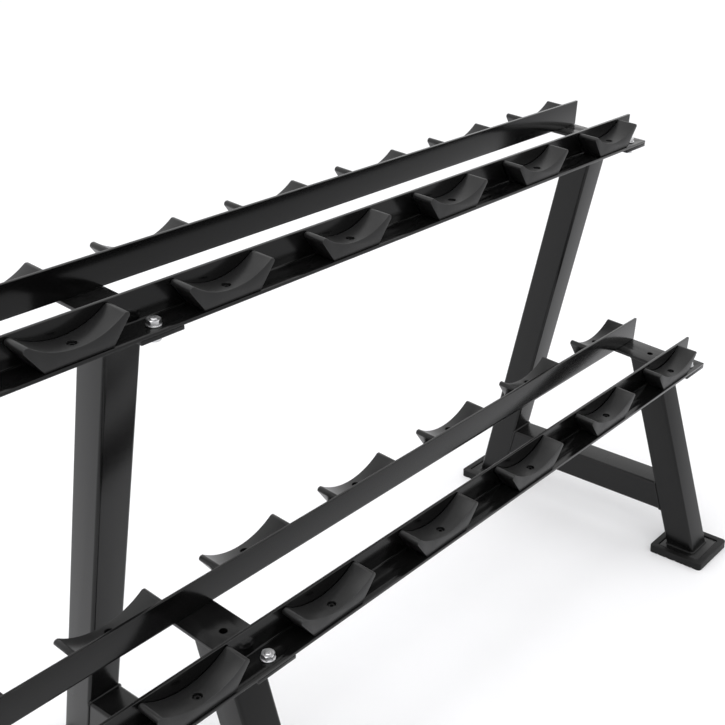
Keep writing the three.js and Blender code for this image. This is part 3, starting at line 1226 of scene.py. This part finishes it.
def model_bolt():
    top = GAP + RAIL_THICKNESS + GAP
    under = -PLATE_THICKNESS - GAP
    upper_washer = washer(top)
    nut_bottom = top + WASHER_THICKNESS + GAP
    hole = BOLT_RADIUS + NUT_PLAY
    nut = finish_mesh(hexagon_nut("nut", NUT_RADIUS, NUT_HEIGHT, nut_bottom, hole))
    lower_washer = washer(under - WASHER_THICKNESS)
    head_top = under - WASHER_THICKNESS - GAP
    head = hexagon_nut("head", NUT_RADIUS, HEAD_HEIGHT, head_top - HEAD_HEIGHT, 0.0)
    tip = nut_bottom + NUT_HEIGHT + THREAD_SHOWING
    shaft = threaded_end("shaft", BOLT_RADIUS, tip, head_top - SHAFT_OVERLAP, THREAD_PITCH)
    bolt = finish_mesh(join([head, shaft], "bolt"))
    return {"nut": nut, "upper_washer": upper_washer, "lower_washer": lower_washer, "bolt": bolt}


fasteners = model_bolt()
for part, model in fasteners.items():
    print(part, face_count(model), "faces")

# %% [markdown]
# Nut, washers and bolt stay four objects, as they are four pieces on the real rack.

# %% Twelve bolts
for tier in TIERS:
    for row in SIDES:
        for frame_name, x in FRAME_X.items():
            spot = on_rail(tier, row, x, BOLT_FROM_CENTRE, 0.0)
            for part, model in fasteners.items():
                name = f"{frame_name}_{tier}_{row}_{part}"
                hand_over(copy_to(model, name, spot), "zinc_fastener")
for model in fasteners.values():
    bpy.data.objects.remove(model)
print("bolts placed")

# %% [markdown]
# ## Floor
# Black paint mostly shows what it mirrors, so the surround decides its tones. The camera sees one pale
# floor, but rays that bounce off the rack find it a little darker towards the front. That darkening is
# painted shade in the floor's colour, as if the studio's light ended there. It gives the front faces and
# the insides of the rails their depth. The Light Path node tells the two kinds of ray apart.

# %% Floor
FLOOR_SIZE = 60.0
FLOOR_GREY = (0.92, 0.94)
# Painted shade: bounced rays see the floor this dark towards the front.
FLOOR_PAINTED_SHADE_GREY = 0.62
FLOOR_DARK_Y = -1.5  # mirrored, the floor is darkest from here to the front
FLOOR_LIT_Y = -0.1  # and full white from here to the back


def pale_floor():
    select_only(None)
    bpy.ops.mesh.primitive_plane_add(size=FLOOR_SIZE, location=(0.0, 0.0, 0.0))
    floor = settle(bpy.context.active_object, "floor")
    material = bpy.data.materials.new("pale_floor")
    material.use_nodes = True
    tree = material.node_tree
    shader = tree.nodes["Principled BSDF"]
    shader.inputs["Roughness"].default_value = 0.9
    shader.inputs["Specular IOR Level"].default_value = 0.1
    place = tree.nodes.new("ShaderNodeTexCoord").outputs["Object"]
    drift = remap(tree, noise(tree, place, 3.0), 0.3, 0.7)
    seen = mix_colour(tree, drift, *(grey(tone) for tone in FLOOR_GREY))
    split = tree.nodes.new("ShaderNodeSeparateXYZ")
    feed(tree, place, split.inputs[0])
    lit = remap(tree, split.outputs["Y"], FLOOR_DARK_Y, FLOOR_LIT_Y)
    # Painted shade for bounced rays; the camera sees the even pale floor.
    painted_shade_in_bounces = mix_colour(tree, lit, grey(FLOOR_PAINTED_SHADE_GREY), grey(FLOOR_GREY[0]))
    camera_ray = tree.nodes.new("ShaderNodeLightPath").outputs["Is Camera Ray"]
    feed(tree, mix_colour(tree, camera_ray, painted_shade_in_bounces, seen), shader.inputs["Base Color"])
    floor.data.materials.append(material)


pale_floor()
print("floor:", FLOOR_SIZE, "m wide")

# %% [markdown]
# ## Light
# A white dome gives the even light of a catalogue picture and something bright for the paint to mirror.
# One large soft panel overhead adds a gentle shadow under the rack, so that it stands on the floor.

# %% Light
DOME_STRENGTH = 1.1
PANEL_PLACE = (-0.6, -0.4, 3.6)
PANEL_TARGET = (0.3, 0.0, 0.4)
PANEL_SIZE = (3.2, 2.2)
PANEL_WATTS = 40.0


def soft_panel(name, place, target, size, power):
    light = bpy.data.lights.new(name, "AREA")
    light.shape = "RECTANGLE"
    light.size, light.size_y = size
    light.energy = power
    panel = bpy.data.objects.new(name, light)
    panel.location = place
    panel.rotation_euler = (Vector(target) - Vector(place)).to_track_quat("-Z", "Y").to_euler()
    bpy.context.scene.collection.objects.link(panel)
    return panel


def white_dome(strength):
    world = bpy.data.worlds.new("studio")
    bpy.context.scene.world = world
    world.use_nodes = True
    background = world.node_tree.nodes["Background"]
    background.inputs["Color"].default_value = (1.0, 1.0, 1.0, 1.0)
    background.inputs["Strength"].default_value = strength


white_dome(DOME_STRENGTH)
soft_panel("overhead_panel", PANEL_PLACE, PANEL_TARGET, PANEL_SIZE, PANEL_WATTS)
bpy.context.scene.view_settings.view_transform = "Standard"
